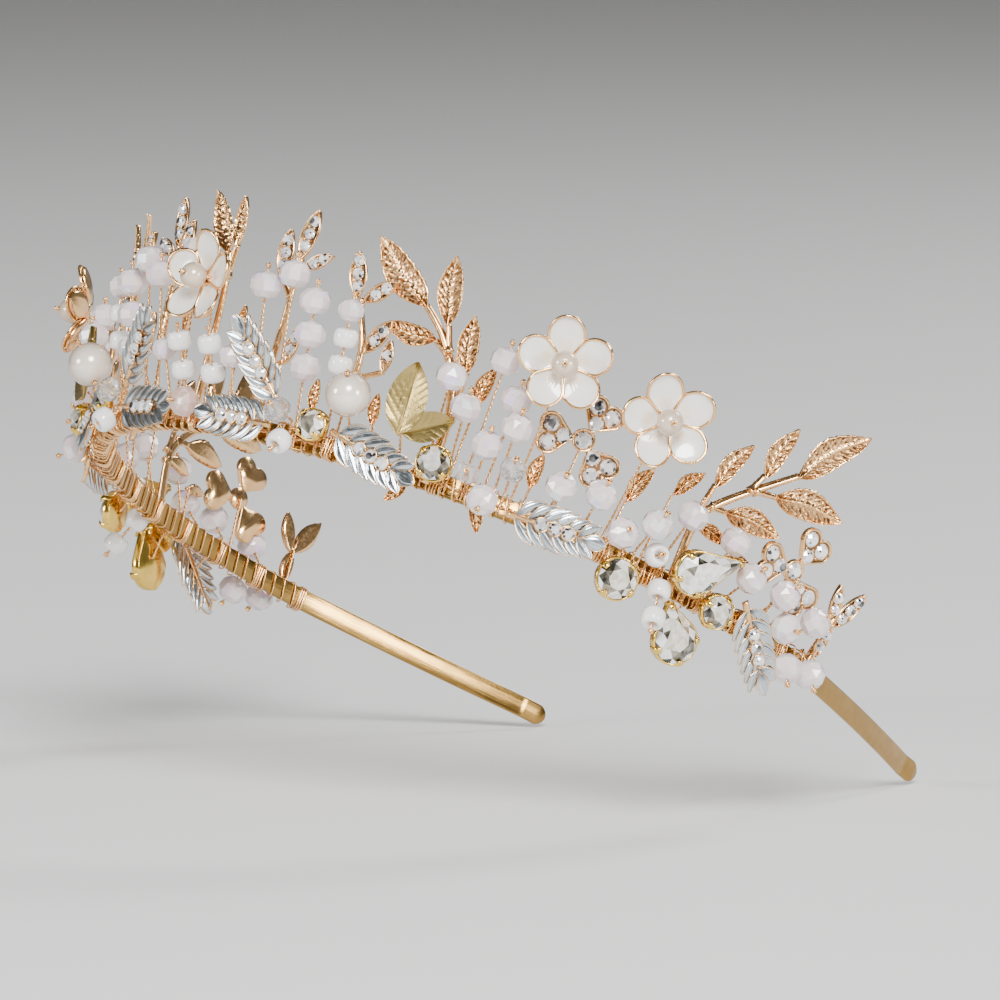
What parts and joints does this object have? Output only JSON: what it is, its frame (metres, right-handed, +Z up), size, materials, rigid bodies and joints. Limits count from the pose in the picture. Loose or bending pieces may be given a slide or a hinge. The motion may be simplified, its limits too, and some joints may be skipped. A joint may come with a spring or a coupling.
{
  "type": "bridal tiara",
  "caption": "Bridal tiara: a springy open gold band carrying a garland of cast leaves, enamel flowers, claw-set crystals, beads and pearls on wire stems.",
  "frame": {"origin": "middle of the band's arc, in the plane of the band, where the head sits", "axes": "+Z up as worn, the wearer faces -Y, +X to the wearer's left side; the band's plane is tilted 29 degrees up at the front"},
  "size_m": [0.176, 0.1387, 0.115],
  "materials": {
    "band_gold": "polished gold-plated spring strip",
    "rose_gold": "bright rose-gold plated casting and wire",
    "claw_gold": "bright yellow-gold plated claws",
    "antique_gold": "brushed antique gold",
    "silver_enamel": "pearly silver-blue enamel on a pale gilt casting",
    "white_enamel": "glossy ivory enamel",
    "pearl": "ivory pearl lustre",
    "opal_glass": "milky faceted glass with a faint rainbow",
    "white_glass": "opaque white glass",
    "pink_glass": "faceted rose glass",
    "clear_crystal": "clear cut crystal with a foiled back"
  },
  "bodies": {
    "tiara": {"band": "band_gold", "rail_wire": "rose_gold", "binding_wire": "rose_gold", "centre_sprig": "rose_gold", "centre_bead_wire": "rose_gold", "inner_branch_right": "rose_gold", "inner_branch_left": "rose_gold", "outer_branch_right": "rose_gold", "outer_branch_left": "rose_gold", "antique_leaves_right": "antique_gold", "antique_leaves_left": "antique_gold", "leaf_sprigs_right": "rose_gold", "leaf_sprigs_left": "rose_gold", "stone_sprays_right": "rose_gold", "stone_sprays_left": "rose_gold", "inner_trefoil_right": "rose_gold", "inner_trefoil_left": "rose_gold", "outer_trefoil_right": "rose_gold", "outer_trefoil_left": "rose_gold", "set_stones_right": "clear_crystal", "set_stones_left": "clear_crystal", "silver_leaves_right": "silver_enamel", "silver_leaves_left": "silver_enamel", "silver_leaf_stones_right": "clear_crystal", "silver_leaf_stones_left": "clear_crystal", "flower_cup_centre": "rose_gold", "flower_cup_inner_right": "rose_gold", "flower_cup_inner_left": "rose_gold", "flower_cup_outer_right": "rose_gold", "flower_cup_outer_left": "rose_gold", "petals_centre": "white_enamel", "petals_inner_right": "white_enamel", "petals_inner_left": "white_enamel", "petals_outer_right": "white_enamel", "petals_outer_left": "white_enamel", "flower_pearls": "pearl", "flower_pins": "rose_gold", "round_settings_right": "claw_gold", "round_settings_left": "claw_gold", "round_crystals_right": "clear_crystal", "round_crystals_left": "clear_crystal", "pear_settings_right": "claw_gold", "pear_settings_left": "claw_gold", "pear_crystals_right": "clear_crystal", "pear_crystals_left": "clear_crystal", "opal_beads_right": "opal_glass", "opal_beads_left": "opal_glass", "opal_beads_centre": "opal_glass", "white_beads_right": "white_glass", "white_beads_left": "white_glass", "white_beads_centre": "white_glass", "clear_beads_right": "clear_crystal", "clear_beads_left": "clear_crystal", "bead_stems": "rose_gold", "ornament_stems": "rose_gold", "large_pearl_wire_right": "rose_gold", "large_pearl_wire_left": "rose_gold"},
    "large_pearl_right": {"large_pearl_right": "pearl"},
    "large_pearl_left": {"large_pearl_left": "pearl"},
    "centre_bead": {"centre_bead": "pink_glass"}
  },
  "joints": [
    {"name": "pearl_right_turn", "type": "hinge", "parent": "tiara", "child": "large_pearl_right", "pos_m": [0.03839, -0.06331, 0.04468], "axis": [0.3555, -0.3312, 0.874], "continuous": true},
    {"name": "pearl_left_turn", "type": "hinge", "parent": "tiara", "child": "large_pearl_left", "pos_m": [-0.03839, -0.06331, 0.04468], "axis": [-0.3555, -0.3312, 0.874], "continuous": true},
    {"name": "centre_bead_turn", "type": "hinge", "parent": "tiara", "child": "centre_bead", "pos_m": [0, -0.07118, 0.04106], "axis": [0, -0.9878, 0.1557], "continuous": true}
  ]
}
